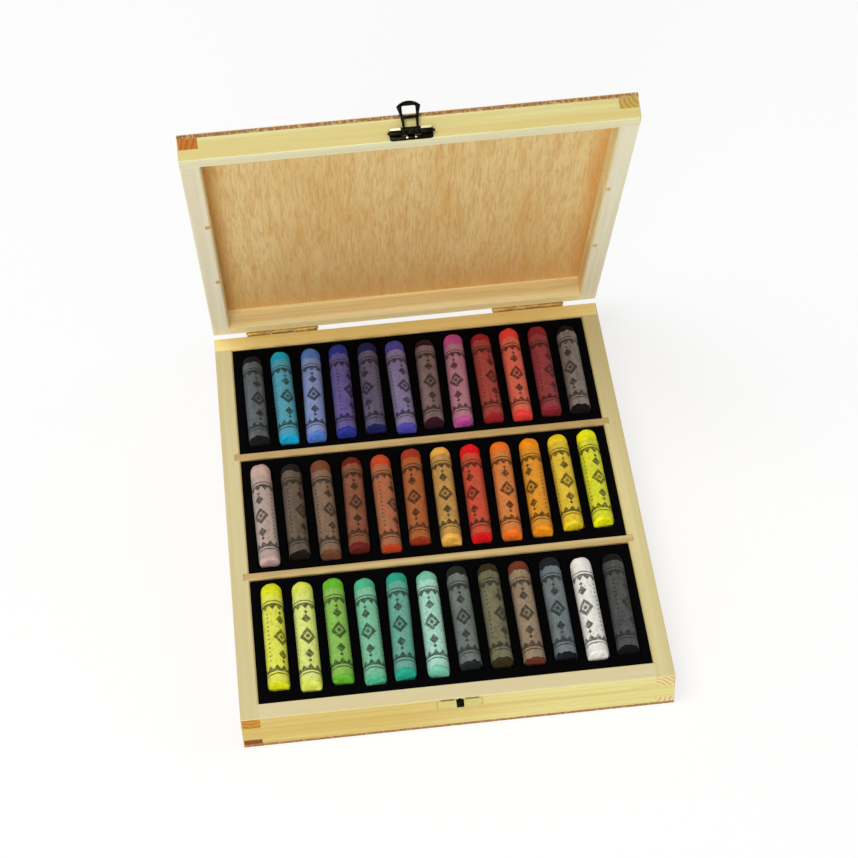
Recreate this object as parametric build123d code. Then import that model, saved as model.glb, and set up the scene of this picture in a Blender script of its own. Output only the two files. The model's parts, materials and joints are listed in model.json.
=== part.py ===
from build123d import *
from math import cos, radians, sin
import os

os.makedirs("parts", exist_ok=True)

# A hinged wooden box of soft pastels, standing open. Millimetres and degrees.
# Origin: the middle of the underside. +X to the right, +Y to the hinges, +Z up.

# The box as a whole.
box_width = 240.0
box_depth = 296.0
base_height = 25.0  # underside to the rim, bottom panel included
lid_height = 14.8  # rim to the top, lid panel included
rail_thickness = 10.6
panel_thickness = 2.5
parting_gap = 0.3  # between the two rims when the lid is shut
lid_opening = 62.4  # how far open the lid stands
rim_ease = 0.8  # bevel along the inner edge of each rim
outer_ease = 0.4  # bevel along the outer edges

# Finger joints, as heights of the fingers.
base_low_finger = 4.1
base_middle_finger = 10.4
lid_rim_finger = 6.2

# Dividers, let into slots in the side rails of the base. The slots run on into the lid.
divider_thickness = 5.0
divider_ease = 0.4
slot_depth = 3.2
slot_side_clearance = 0.05
slot_end_clearance = 0.2

# Pastel sticks: twelve a row, paper wrapped, bare at both ends.
rows = {
    "front": [
        "lemon", "pale_lime", "leaf_green", "sea_green", "teal", "mint",
        "slate_green", "olive", "red_brown", "blue_black", "white", "black",
    ],
    "middle": [
        "pale_pink", "umber", "brown", "rust", "orange_red", "burnt_orange",
        "ochre", "scarlet", "orange", "amber", "golden_yellow", "bright_yellow",
    ],
    "rear": [
        "charcoal", "turquoise", "sky_blue", "ultramarine", "indigo", "violet",
        "plum", "magenta", "crimson", "vermilion", "carmine", "sepia",
    ],
}
stick_diameter = 12.0
stick_sides = 12  # sticks, papers and pockets are many-sided prisms, to keep 36 of them light
stick_length = 71.0
stick_margin = 11.94  # inner face of a side rail to the axis of the nearest stick
stick_end_ease = 1.2
stick_rise = 0.5  # the axis stands this far above the foam
paper_thickness = 0.15
paper_clearance = 0.05
paper_length = 57.0
paper_shift = -2.5  # the paper sits nearer the front end

# Foam inserts, one for each compartment.
foam_drop = 0.8  # the foam's top lies below the rim
foam_clearance = 0.2
pocket_clearance = 0.3
pocket_end_clearance = 1.5

# Hinges: two small butt hinges on the back faces.
hinge_spacing = 154.4  # centre to centre
hinge_length = 44.0
hinge_setback = 2.1  # the axis stands behind the back faces
knuckle_radius = 1.8
knuckle_count = 3
knuckle_gap = 0.3
hinge_pin_radius = 0.8
hinge_pin_clearance = 0.1
hinge_pin_overhang = 0.6
leaf_thickness = 1.0
leaf_height = 10.0
leaf_hole_radius = 1.2
leaf_hole_spacing = 28.0
leaf_hole_edge = 3.2  # hole centre to the leaf's free edge
leaf_countersink = 2.1

# Latch: a plate and a swinging loop on the lid, and a hook on the base.
latch_offset = 0.5  # a little right of the middle
latch_plate_width = 22.6
latch_plate_height = 7.1
latch_plate_thickness = 0.7
latch_plate_corner = 1.4
latch_pin_height = 3.8  # above the lid's rim
latch_pin_setback = 1.7  # in front of the lid's face
latch_pin_radius = 0.75
latch_pin_length = 24.6
latch_pin_clearance = 0.1
latch_knuckle_radius = 1.45
latch_knuckle_gap = 0.2
centre_knuckle_width = 3.6
eye_width = 2.8
loop_thickness = 1.0
loop_length = 17.2  # pin to tip
loop_root_width = 8.4
loop_waist_width = 9.5
loop_shoulder_width = 12.6
loop_shoulder_length = 14.3  # pin to shoulder
hook_window_width = 6.1
crossbar_length = 7.5  # pin to the near edge of the crossbar
crossbar_width = 1.5
finger_window_width = 7.1
finger_window_height = 5.7
window_corner = 0.8

# Catch: a plate let into the front face, and its hook.
catch_plate_width = 24.8
catch_plate_height = 8.0
catch_plate_thickness = 0.8
catch_plate_corner = 2.6
catch_plate_drop = 0.6  # top edge below the rim
catch_plate_proud = 0.2
catch_recess_clearance = 0.25
hook_width = 4.2
hook_thickness = 0.9
hook_reach = 4.4  # in front of the base's face
hook_bend_radius = 2.0
hook_nose_clearance = 0.7  # above the crossbar of the hanging loop
hook_shank_length = 5.0
hook_shank_width = 1.6

# Worked out from the values above.
half_width = box_width / 2
half_depth = box_depth / 2
inner_half_width = half_width - rail_thickness
inner_half_depth = half_depth - rail_thickness
lid_rim = base_height + parting_gap
lid_top = lid_rim + lid_height
lid_panel_level = lid_top - panel_thickness
compartment_length = (2 * inner_half_depth - 2 * divider_thickness) / 3
foam_top = base_height - foam_drop
stick_level = foam_top + stick_rise
paper_inner_radius = stick_diameter / 2 + paper_clearance
paper_outer_radius = paper_inner_radius + paper_thickness
hinge_axis_y = half_depth + hinge_setback
hinge_axis_z = base_height + parting_gap / 2
latch_pin_y = -half_depth - latch_pin_setback
latch_pin_z = lid_rim + latch_pin_height


def block(x_range, y_range, z_range):
    """A plain box between two corners."""
    sizes = [high - low for low, high in (x_range, y_range, z_range)]
    middles = [(high + low) / 2 for low, high in (x_range, y_range, z_range)]
    return Pos(*middles) * Box(*sizes)


def rod(radius, x_range, y, z):
    """A cylinder along X between two places."""
    low, high = x_range
    return Pos((low + high) / 2, y, z) * Rot(0, 90, 0) * Cylinder(radius, high - low)


def prism(radius, y_range):
    """A many-sided prism along Y, near enough round, about the origin's axis."""
    low, high = y_range
    return Pos(0, high, 0) * Rot(90, 0, 0) * extrude(RegularPolygon(radius, stick_sides), high - low)


def opened(piece):
    """Swing a piece of the lid from shut to where the lid stands."""
    axis = Axis((0, hinge_axis_y, hinge_axis_z), (1, 0, 0))
    return piece.rotate(axis, -lid_opening)


def compartment(row):
    """The front and back of a row's compartment."""
    front = -inner_half_depth + row * (compartment_length + divider_thickness)
    return front, front + compartment_length


# ---------------------------------------------------------------- the wooden case


def eased_case(low, high):
    """The outside of a base or lid, with its arrises taken off."""
    case = block((-half_width, half_width), (-half_depth, half_depth), (low, high))
    return chamfer(case.edges(), outer_ease)


def cavity(panel_level, rim_level):
    """The space inside the rails, with a mouth that flares at the rim."""
    outward = 1 if rim_level > panel_level else -1
    mouth_level = rim_level - outward * rim_ease
    levels = sorted((panel_level, rim_level))
    inside = block(
        (-inner_half_width, inner_half_width),
        (-inner_half_depth, inner_half_depth),
        levels,
    )
    narrow = Rectangle(2 * inner_half_width, 2 * inner_half_depth)
    wide = Rectangle(
        2 * (inner_half_width + rim_ease), 2 * (inner_half_depth + rim_ease)
    )
    mouth = loft([Pos(0, 0, mouth_level) * narrow, Pos(0, 0, rim_level) * wide])
    return inside + mouth


def front_board(levels, fingers):
    """The front rail's board: its core and the fingers that reach the corners."""
    depths = (-half_depth, -inner_half_depth)
    board = block((-inner_half_width, inner_half_width), depths, levels)
    for finger in fingers:
        board += block((-half_width, half_width), depths, finger)
    return board


def side_board(levels, front_fingers, rear_fingers):
    """The left rail's board, with fingers at the front and rear corners."""
    widths = (-half_width, -inner_half_width)
    board = block(widths, (-inner_half_depth, inner_half_depth), levels)
    for finger in front_fingers:
        board += block(widths, (-half_depth, 0), finger)
    for finger in rear_fingers:
        board += block(widths, (0, half_depth), finger)
    return board


def divider_slots(levels):
    """The slots in the left rail that take the ends of the dividers."""
    slots = []
    for row in (0, 1):
        front = compartment(row)[1]
        slots.append(
            block(
                (-inner_half_width - slot_depth, -inner_half_width + rim_ease),
                (front - slot_side_clearance, front + divider_thickness + slot_side_clearance),
                levels,
            )
        )
    return slots[0] + slots[1]


def case_rails(prefix, case, hollow, levels, front_fingers, side_fingers):
    """The four rails of a base or lid, cut from one eased case."""
    side = side_board(levels, side_fingers, front_fingers) & case
    side = side - hollow - divider_slots(levels)
    return {
        prefix + "_front_rail": (front_board(levels, front_fingers) & case) - hollow,
        prefix + "_rear_rail": (mirror(front_board(levels, side_fingers), Plane.XZ) & case)
        - hollow,
        prefix + "_left_rail": side,
        prefix + "_right_rail": mirror(side, Plane.YZ),
    }


def base_case():
    """The base: four finger-jointed rails on a bottom panel."""
    low = panel_thickness
    middle = low + base_low_finger
    high = middle + base_middle_finger
    case = eased_case(0, base_height)
    rails = case_rails(
        "base",
        case,
        cavity(low, base_height),
        (low, base_height),
        [(middle, high)],
        [(low, middle), (high, base_height)],
    )
    rails["base_front_rail"] -= catch_recess()
    slab = block((-half_width, half_width), (-half_depth, half_depth), (0, low))
    rails["base_bottom_panel"] = case & slab
    return rails


def lid_case():
    """The lid: the same rails and panel, turned rim down."""
    middle = lid_rim + lid_rim_finger
    case = eased_case(lid_rim, lid_top)
    rails = case_rails(
        "lid",
        case,
        cavity(lid_panel_level, lid_rim),
        (lid_rim, lid_panel_level),
        [(lid_rim, middle)],
        [(middle, lid_panel_level)],
    )
    slab = block(
        (-half_width, half_width), (-half_depth, half_depth), (lid_panel_level, lid_top)
    )
    rails["lid_panel"] = case & slab
    return rails


def divider(row):
    """A divider behind a row, with its ends in the side rails."""
    front = compartment(row)[1]
    reach = inner_half_width + slot_depth - slot_end_clearance
    board = block(
        (-reach, reach), (front, front + divider_thickness), (panel_thickness, base_height)
    )
    top_edges = board.faces().sort_by(Axis.Z)[-1].edges().filter_by(Axis.X)
    return chamfer(top_edges, divider_ease)


# ---------------------------------------------------------------- pastels and foam


def stick_places(row):
    """Where the middles of a row's sticks lie, from left to right."""
    gaps = len(list(rows.values())[row]) - 1
    reach = inner_half_width - stick_margin
    middle = sum(compartment(row)) / 2
    return [(reach * (2 * i / gaps - 1), middle) for i in range(gaps + 1)]


def stick():
    """One stick of pastel, lying along Y at the origin."""
    body = prism(stick_diameter / 2, (-stick_length / 2, stick_length / 2))
    ends = body.faces().filter_by(Axis.Y)
    return chamfer(ends.edges(), stick_end_ease)


def paper_sleeve():
    """The paper round a stick at the origin."""
    span = (paper_shift - paper_length / 2, paper_shift + paper_length / 2)
    return prism(paper_outer_radius, span) - prism(paper_inner_radius, span)


def foam_insert(row):
    """A foam block that fills a compartment, with a rounded pocket for each stick."""
    front, rear = compartment(row)
    side = inner_half_width - foam_clearance
    foam = block(
        (-side, side), (front + foam_clearance, rear - foam_clearance), (panel_thickness, foam_top)
    )
    radius = paper_outer_radius + pocket_clearance
    reach = stick_length / 2 + pocket_end_clearance
    for x, y in stick_places(row):
        foam -= Pos(x, y, stick_level) * prism(radius, (-reach, reach))
    return foam


# ---------------------------------------------------------------- hinges


def knuckle_spans(start, end, count, gap):
    """Split a length into knuckles with a gap between neighbours."""
    width = (end - start - (count - 1) * gap) / count
    return [(start + i * (width + gap), start + i * (width + gap) + width) for i in range(count)]


def hinge_leaf(middle, upward):
    """One leaf of a hinge with its own knuckles, on the lid if upward, else on the base."""
    start, end = middle - hinge_length / 2, middle + hinge_length / 2
    spans = knuckle_spans(start, end, knuckle_count, knuckle_gap)
    own = spans[1::2] if upward else spans[0::2]
    others = spans[0::2] if upward else spans[1::2]
    turn = 1 if upward else -1
    free_edge = hinge_axis_z + turn * leaf_height
    leaf = block(
        (start, end),
        (half_depth, half_depth + leaf_thickness),
        sorted((hinge_axis_z, free_edge)),
    )
    slot_end = hinge_axis_z + turn * (knuckle_radius + knuckle_gap)
    for low, high in others:
        leaf -= block(
            (low - knuckle_gap, high + knuckle_gap),
            (half_depth, hinge_axis_y),
            sorted((hinge_axis_z, slot_end)),
        )
    for span in own:
        leaf += rod(knuckle_radius, span, hinge_axis_y, hinge_axis_z)
    leaf -= rod(hinge_pin_radius + hinge_pin_clearance, (start, end), hinge_axis_y, hinge_axis_z)
    hole_z = free_edge - turn * leaf_hole_edge
    for x in (middle - leaf_hole_spacing / 2, middle + leaf_hole_spacing / 2):
        centre = Pos(x, half_depth + leaf_thickness, hole_z) * Rot(-90, 0, 0)
        leaf -= centre * CounterSinkHole(
            radius=leaf_hole_radius,
            counter_sink_radius=leaf_countersink,
            depth=2 * leaf_thickness,
        )
    return leaf


def hinge_pin(middle):
    """The pin through a hinge's knuckles."""
    reach = hinge_length / 2 + hinge_pin_overhang
    return rod(hinge_pin_radius, (middle - reach, middle + reach), hinge_axis_y, hinge_axis_z)


def both_hinges(make, *rest):
    """The same piece at the left and right hinge, as two solids in one node."""
    return Compound([make(side * hinge_spacing / 2, *rest) for side in (-1, 1)])


# ---------------------------------------------------------------- latch and catch


def at_latch(x_range):
    """Move a range of X to the latch's middle."""
    return x_range[0] + latch_offset, x_range[1] + latch_offset


def eye_start():
    """Where the loop's eyes begin, beside the plate's middle knuckle."""
    return centre_knuckle_width / 2 + latch_knuckle_gap


def latch_plate():
    """The plate on the lid's front face, with three knuckles for the pin."""
    half = latch_plate_width / 2
    plate = block(
        at_latch((-half, half)),
        (-half_depth - latch_plate_thickness, -half_depth),
        (lid_rim, lid_rim + latch_plate_height),
    )
    plate = fillet(plate.edges().filter_by(Axis.Y), latch_plate_corner)
    outer_start = eye_start() + eye_width + latch_knuckle_gap
    for span in ((-half, -outer_start), (outer_start, half)):
        plate += rod(latch_knuckle_radius, at_latch(span), latch_pin_y, latch_pin_z)
    middle = (-centre_knuckle_width / 2, centre_knuckle_width / 2)
    plate += rod(latch_knuckle_radius, at_latch(middle), latch_pin_y, latch_pin_z)
    slot_half = latch_knuckle_radius + latch_knuckle_gap
    for side in (-1, 1):
        eye = sorted((side * (eye_start() - latch_knuckle_gap), side * outer_start))
        plate -= block(
            at_latch(eye),
            (latch_pin_y, -half_depth),
            (latch_pin_z - slot_half, latch_pin_z + slot_half),
        )
    bore = latch_pin_radius + latch_pin_clearance
    return plate - rod(bore, at_latch((-half, half)), latch_pin_y, latch_pin_z)


def latch_pin():
    """The pin that the loop swings on."""
    reach = latch_pin_length / 2
    return rod(latch_pin_radius, at_latch((-reach, reach)), latch_pin_y, latch_pin_z)


def loop_outline():
    """The loop's outline, pin at the origin and tip up, with flared sides and an arched tip."""
    root = (loop_root_width / 2, latch_pin_radius + latch_pin_clearance)
    waist = (loop_waist_width / 2, crossbar_length + crossbar_width / 2)
    shoulder = (loop_shoulder_width / 2, loop_shoulder_length)
    left = [(-x, y) for x, y in (shoulder, waist, root)]
    edges = [
        ThreePointArc(root, waist, shoulder),
        ThreePointArc(shoulder, (0, loop_length), left[0]),
        ThreePointArc(*left),
        Line(left[2], root),
    ]
    return make_face(edges)


def latch_loop():
    """The swinging loop, folded up against the lid's face: two eyes, crossbar and finger tab."""
    face = loop_outline()
    finger_middle = crossbar_length + crossbar_width + finger_window_height / 2
    face -= Pos(0, finger_middle) * RectangleRounded(
        finger_window_width, finger_window_height, window_corner
    )
    face -= Pos(0, crossbar_length / 2) * Rectangle(hook_window_width, crossbar_length)
    place = Plane(
        origin=(latch_offset, latch_pin_y, latch_pin_z), x_dir=(1, 0, 0), z_dir=(0, -1, 0)
    )
    loop = extrude(place * face, loop_thickness / 2, both=True)
    for side in (-1, 1):
        span = sorted((side * eye_start(), side * (eye_start() + eye_width)))
        loop += rod(latch_knuckle_radius, at_latch(span), latch_pin_y, latch_pin_z)
    reach = latch_plate_width / 2
    bore = latch_pin_radius + latch_pin_clearance
    return loop - rod(bore, at_latch((-reach, reach)), latch_pin_y, latch_pin_z)


def catch_outline(growth):
    """The rounded outline of the catch plate, or of its recess when grown, seen from the front."""
    width = catch_plate_width + 2 * growth
    height = catch_plate_height + 2 * growth
    middle = base_height - catch_plate_drop - catch_plate_height / 2
    place = Plane(origin=(latch_offset, -half_depth, middle), x_dir=(1, 0, 0), z_dir=(0, -1, 0))
    return place * RectangleRounded(width, height, catch_plate_corner + growth)


def catch_recess():
    """The shallow mortise that the catch plate is let into, and the hole for the hook's shank."""
    depth = catch_plate_thickness - catch_plate_proud
    return extrude(catch_outline(catch_recess_clearance), -depth) + hook_shank(
        catch_recess_clearance / 2
    )


def catch_plate():
    """The catch's plate, nearly flush, with a slot for the hook's shank."""
    plate = extrude(catch_outline(0), -(catch_plate_thickness - catch_plate_proud))
    plate += extrude(catch_outline(0), catch_plate_proud)
    return plate - hook_shank(catch_recess_clearance / 2)


def hook_top():
    """The top of the hook: its nose hangs just clear of the crossbar when the loop is down."""
    crossbar = latch_pin_z - crossbar_length
    return crossbar + hook_nose_clearance + loop_thickness / 2 + hook_bend_radius - hook_thickness / 2


def hook_shank(growth):
    """The shank behind the hook, driven through the plate into the front rail."""
    half = hook_shank_width / 2 + growth
    top = hook_top() + growth
    bottom = hook_top() - hook_thickness - growth
    return block(
        at_latch((-half, half)),
        (-half_depth - catch_plate_proud, -half_depth + hook_shank_length + growth),
        (bottom, top),
    )


def catch_hook():
    """The hook: a flat tongue that leaves the plate, bends down and ends in a short nose."""
    top = hook_top()
    bend_y = hook_reach - hook_bend_radius
    inner = hook_bend_radius - hook_thickness
    arc_middle = hook_bend_radius * cos(radians(45))
    inner_middle = inner * sin(radians(45))
    level = top - hook_bend_radius
    outline = [
        Line((catch_plate_proud, top), (bend_y, top)),
        ThreePointArc((bend_y, top), (bend_y + arc_middle, level + arc_middle), (hook_reach, level)),
        Line((hook_reach, level), (bend_y + inner, level)),
        ThreePointArc(
            (bend_y + inner, level),
            (bend_y + inner_middle, level + inner_middle),
            (bend_y, top - hook_thickness),
        ),
        Line((bend_y, top - hook_thickness), (catch_plate_proud, top - hook_thickness)),
        Line((catch_plate_proud, top - hook_thickness), (catch_plate_proud, top)),
    ]
    # The outline is drawn as distance in front of the face against height.
    place = Plane(
        origin=(latch_offset, -half_depth, 0), x_dir=(0, -1, 0), z_dir=(-1, 0, 0)
    )
    tongue = extrude(place * make_face(outline), hook_width / 2, both=True)
    return tongue + hook_shank(0)


# ---------------------------------------------------------------- the whole box


def base_pieces():
    """Every piece that stays with the base."""
    pieces = base_case()
    pieces["front_divider"] = divider(0)
    pieces["rear_divider"] = divider(1)
    sleeves = []
    for row, (name, colours) in enumerate(rows.items()):
        pieces[name + "_foam"] = foam_insert(row)
        for colour, (x, y) in zip(colours, stick_places(row)):
            pieces["pastel_" + colour] = Pos(x, y, stick_level) * stick()
            sleeves.append(Pos(x, y, stick_level) * paper_sleeve())
    pieces["paper_wrappers"] = Compound(sleeves)
    pieces["base_hinge_leaves"] = both_hinges(hinge_leaf, False)
    pieces["hinge_pins"] = both_hinges(hinge_pin)
    pieces["catch_plate"] = catch_plate()
    pieces["catch_hook"] = catch_hook()
    return pieces


def lid_pieces():
    """Every piece that swings with the lid, as it stands open."""
    pieces = lid_case()
    pieces["lid_hinge_leaves"] = both_hinges(hinge_leaf, True)
    pieces["latch_plate"] = latch_plate()
    pieces["latch_pin"] = latch_pin()
    pieces["latch_loop"] = latch_loop()
    return {name: opened(piece) for name, piece in pieces.items()}


for node, piece in {**base_pieces(), **lid_pieces()}.items():
    piece.label = node
    export_step(piece, "parts/" + node + ".step")
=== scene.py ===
import json
import random
from math import cos, pi, radians, sin

import bpy
from mathutils import Matrix, Vector, noise


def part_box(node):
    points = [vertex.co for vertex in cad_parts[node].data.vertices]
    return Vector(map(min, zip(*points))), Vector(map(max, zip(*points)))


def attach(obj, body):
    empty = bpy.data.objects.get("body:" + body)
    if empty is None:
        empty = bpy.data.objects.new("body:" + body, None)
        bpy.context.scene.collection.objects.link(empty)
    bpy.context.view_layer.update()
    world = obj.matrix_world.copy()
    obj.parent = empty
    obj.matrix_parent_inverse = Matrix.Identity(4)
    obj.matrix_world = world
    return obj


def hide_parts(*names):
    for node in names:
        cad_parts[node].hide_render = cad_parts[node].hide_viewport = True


mm = 0.001

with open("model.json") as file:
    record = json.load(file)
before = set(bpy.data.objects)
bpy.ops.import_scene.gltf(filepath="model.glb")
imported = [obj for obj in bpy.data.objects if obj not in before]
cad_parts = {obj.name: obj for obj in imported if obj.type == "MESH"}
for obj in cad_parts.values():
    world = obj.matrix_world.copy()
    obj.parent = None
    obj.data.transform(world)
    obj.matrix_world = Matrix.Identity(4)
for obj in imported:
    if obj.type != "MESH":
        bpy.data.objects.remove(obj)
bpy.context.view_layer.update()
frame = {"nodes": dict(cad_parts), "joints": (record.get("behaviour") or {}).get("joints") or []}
bpy.ops.object.select_all(action="DESELECT")
hinge = next(joint for joint in frame["joints"] if joint["name"] == "lid_hinge")
hingeAxis = Vector(hinge["pos_m"])
lidOpening = radians(-hinge["range_deg"][0])  # from shut to where the lid stands
raised = Matrix.Translation(hingeAxis) @ Matrix.Rotation(-lidOpening, 4, "X") @ Matrix.Translation(-hingeAxis)
lidGap = 0.3 * mm  # between the shut lid's rim and the base's
latchMiddle = 0.5 * mm  # the latch is fixed a little to the right
print("frame loaded:", len(frame["nodes"]), "nodes")


# camera, lamps and floor

white = (1, 1, 1, 1)
view = {
    "place": (-0.0679, -0.9974, 1.1587),
    "turn": (0.74845, 0.03339, -0.10504),
    "lens": 108.06,  # millimetres, as is the sensor
    "sensor": 36,
    "clip": (0.05, 50),
}
studio = {
    "world": 0.48,
    "floorSize": 14,
    "floor": (0.97, 0.97, 0.97, 1),
    "floorPatches": (0.98, 0.98, 0.98, 1),
    "floorBounce": (0.62, 0.62, 0.61, 1),  # what the object gets back from the floor
    "whitening": 0.7,  # how much of the seen floor is plain white, over its shadows
    "key": {"place": (-1.3, -0.7, 3.1), "size": 2.0, "power": 51},
    "front": {"place": (-0.9, -3.0, 0.55), "size": 2.2, "power": 54},
    "side": {"place": (2.6, -0.6, 1.9), "size": 2.4, "power": 14},
}


def addCamera():
    camera = bpy.data.cameras.new("camera")
    camera.sensor_width = view["sensor"]
    camera.lens = view["lens"]
    camera.clip_start, camera.clip_end = view["clip"]
    holder = bpy.data.objects.new("camera", camera)
    holder.location = view["place"]
    holder.rotation_euler = view["turn"]
    bpy.context.scene.collection.objects.link(holder)
    bpy.context.scene.camera = holder


def addLamp(name):
    # a round lamp that faces the box
    lamp = studio[name]
    bpy.ops.object.light_add(type="AREA", location=lamp["place"])
    light = bpy.context.object
    light.name = name
    light.rotation_euler = (-Vector(lamp["place"])).to_track_quat("-Z", "Y").to_euler()
    light.data.shape = "DISK"
    light.data.size = lamp["size"]
    light.data.energy = lamp["power"]


# small helpers for the node trees

def newTree(name):
    material = bpy.data.materials.new(name)
    material.use_nodes = True
    material.node_tree.nodes.clear()
    return material, material.node_tree


def add(tree, kind, inputs=None, **settings):
    node = tree.nodes.new("ShaderNode" + kind)
    for key, value in settings.items():
        setattr(node, key, value)
    for key, value in (inputs or {}).items():
        if isinstance(value, bpy.types.NodeSocket):
            tree.links.new(value, node.inputs[key])
        else:
            node.inputs[key].default_value = value
    return node


def calc(tree, operation, first, second=0.0):
    return add(tree, "Math", {0: first, 1: second}, operation=operation).outputs[0]


def product(tree, first, *others):
    for other in others:
        first = calc(tree, "MULTIPLY", first, other)
    return first


def away(tree, value, middle):
    # how far a value is from the middle, on either side
    return calc(tree, "ABSOLUTE", calc(tree, "SUBTRACT", value, middle))


def ramp(tree, factor, *stops, smooth=True):
    node = add(tree, "ValToRGB", {"Fac": factor})
    colours = node.color_ramp
    colours.interpolation = "EASE" if smooth else "LINEAR"
    while len(colours.elements) < len(stops):
        colours.elements.new(0.5)
    for element, (place, value) in zip(colours.elements, stops):
        element.position = place
        element.color = value if hasattr(value, "__len__") else (value, value, value, 1)
    return node.outputs["Color"]


def rescale(tree, value, low, high):
    # a pattern's 0 to 1 becomes low to high
    return add(tree, "MapRange", {0: value, 3: low, 4: high}).outputs[0]


def blend(tree, factor, first, second, mode="MIX"):
    node = add(tree, "MixRGB", {"Fac": factor, "Color1": first, "Color2": second}, blend_type=mode)
    return node.outputs["Color"]


def cloud(tree, coords, scale, stretch=(1, 1, 1), detail=3.0, roughness=0.5, seed=0.0):
    # smooth noise; scale is in cycles a metre, and stretch makes streaks
    shift = (seed, seed * 1.7, seed * 0.6)
    moved = add(tree, "Mapping", {"Vector": coords, "Location": shift, "Scale": stretch})
    node = add(tree, "TexNoise", {
        "Vector": moved.outputs[0], "Scale": scale, "Detail": detail, "Roughness": roughness,
    })
    return node.outputs["Fac"]


def finishTree(tree, shaderInputs, height=None, relief=0.0001, strength=0.3):
    # one surface shader at the end of every tree, with the relief on its normal
    shader = add(tree, "BsdfPrincipled", shaderInputs)
    if height is not None:
        bump = add(tree, "Bump", {"Height": height, "Strength": strength, "Distance": relief})
        tree.links.new(bump.outputs[0], shader.inputs["Normal"])
    output = add(tree, "OutputMaterial")
    tree.links.new(shader.outputs[0], output.inputs["Surface"])
    return shader, output


def colour(text):
    # a colour as painters' software writes it, made linear
    parts = [int(text[i:i + 2], 16) / 255 for i in (1, 3, 5)]
    return tuple(c / 12.92 if c <= 0.04045 else ((c + 0.055) / 1.055) ** 2.4 for c in parts) + (1,)


def tinted(base, times, plus=0.0):
    return tuple(min(1, c * times + plus) for c in base[:3]) + (1,)


def seenDirectly(tree):
    # one for what the camera sees straight, in a mirror or through glass
    path = add(tree, "LightPath")
    either = calc(tree, "MAXIMUM", path.outputs["Is Camera Ray"], path.outputs["Is Glossy Ray"])
    return calc(tree, "MAXIMUM", either, path.outputs["Is Transmission Ray"])


def addWorld():
    world = bpy.data.worlds.new("studio")
    bpy.context.scene.world = world
    world.use_nodes = True
    tree = world.node_tree
    tree.nodes.clear()
    light = add(tree, "Background", {"Color": white, "Strength": studio["world"]})
    seen = add(tree, "Background", {"Color": white, "Strength": 1})
    mix = add(tree, "MixShader", {0: seenDirectly(tree), 1: light.outputs[0], 2: seen.outputs[0]})
    output = add(tree, "OutputWorld")
    tree.links.new(mix.outputs[0], output.inputs["Surface"])


def addFloor():
    bpy.ops.mesh.primitive_plane_add(size=studio["floorSize"])
    floor = bpy.context.object
    floor.name = "floor"
    material, tree = newTree("pale floor")
    coords = add(tree, "TexCoord").outputs["Object"]
    seen = ramp(tree, cloud(tree, coords, 3), (0.0, studio["floor"]), (1.0, studio["floorPatches"]))
    shade = blend(tree, seenDirectly(tree), studio["floorBounce"], seen)
    matt = {"Base Color": shade, "Roughness": 0.9, "Specular IOR Level": 0.1}
    shader, output = finishTree(tree, matt)
    glow = add(tree, "Emission", {"Color": white, "Strength": 1})
    share = product(tree, seenDirectly(tree), studio["whitening"])
    mix = add(tree, "MixShader", {0: share, 1: shader.outputs[0], 2: glow.outputs[0]})
    tree.links.new(mix.outputs[0], output.inputs["Surface"])
    floor.data.materials.append(material)


bpy.context.scene.view_settings.view_transform = "Standard"
addCamera()
for lampName in ("key", "front", "side"):
    addLamp(lampName)
addWorld()
addFloor()
print("camera, lamps and floor are in place")


# wood

rails = {  # heart is the middle of the end grain's rings: millimetres outwards from the rail, and above the table
    "base_front_rail": {
        "face": "#D3BD6C", "farFace": "#E2D98E", "rim": "#DAD2AA", "end": "#CF9A4A",
        "heart": (4, -4), "seed": 1.0,
    },
    # painted light: this rim is written paler than pine, to make up for the open lid's shadow on it
    "base_rear_rail": {
        "face": "#DCC27A", "rim": "#FFE69A", "end": "#D2A050", "heart": (-5, -2), "seed": 2.3,
    },
    "base_left_rail": {
        "face": "#E0CC88", "rim": "#D3CB9E", "end": "#CC8F26", "lowEnd": "#8E4600",
        "heart": (1, 36), "seed": 3.1,
    },
    "base_right_rail": {
        "face": "#DDC980", "rim": "#D1C692", "end": "#ECD69A", "heart": (-9, 8), "seed": 4.7,
    },
    "lid_front_rail": {
        "face": "#CCCB8C", "rim": "#EFEDC6", "end": "#C8A050", "figure": 0.8,
        "heart": (6, 44), "seed": 5.2,
    },
    # painted light: this face is written paler, to make up for the shade under the lid's overhang
    "lid_rear_rail": {
        "face": "#FBE9AE", "rim": "#F1E4AE", "end": "#CFA050", "heart": (-4, 46), "seed": 6.6,
    },
    "lid_left_rail": {
        "face": "#EED9A0", "rim": "#F2EDD2", "end": "#B46A08", "heart": (-15, 31), "seed": 7.9,
    },
    # painted light: this inner face is written paler, to make up for the shade it lies in
    "lid_right_rail": {
        "face": "#F8E9B2", "rim": "#F2EDD0", "end": "#BA9C4A", "heart": (9, 40), "seed": 8.4,
    },
    "front_divider": {"face": "#C4AA70", "rim": "#BDA571", "seed": 9.5},
    "rear_divider": {"face": "#C2A86E", "rim": "#BBA472", "seed": 10.3},
}
grain = {  # lengths in millimetres
    "streak": "#C9A04E",
    "pale": "#EEE0A8",
    "fleck": "#A77F3C",
    "ringGap": 5.2,
    "ringLean": 0.55,  # how much the rings lean over through the board
    "ringWander": 16,
    "ringShare": 0.16,
    "fibreWidth": 0.8,
    "fleckShare": 0.2,
    "relief": 0.04,
    "rimShare": 0.35,  # how much of the figure shows on a rim
    "fade": (-30, 30),  # where a farFace takes over, from the box's middle
}
endGrain = {
    "gap": 2.7,
    "wander": 5,
    "share": 0.85,
    "tint": (0.55, 0.42, 0.3, 1),  # what a dark ring makes of the end's colour
    "skin": 0.6,  # how near the case's outside a face has to be
    "halfRail": 5.3,
    "lowTop": 6.65,  # just over the lowest finger, which may have a colour of its own
}
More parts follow.
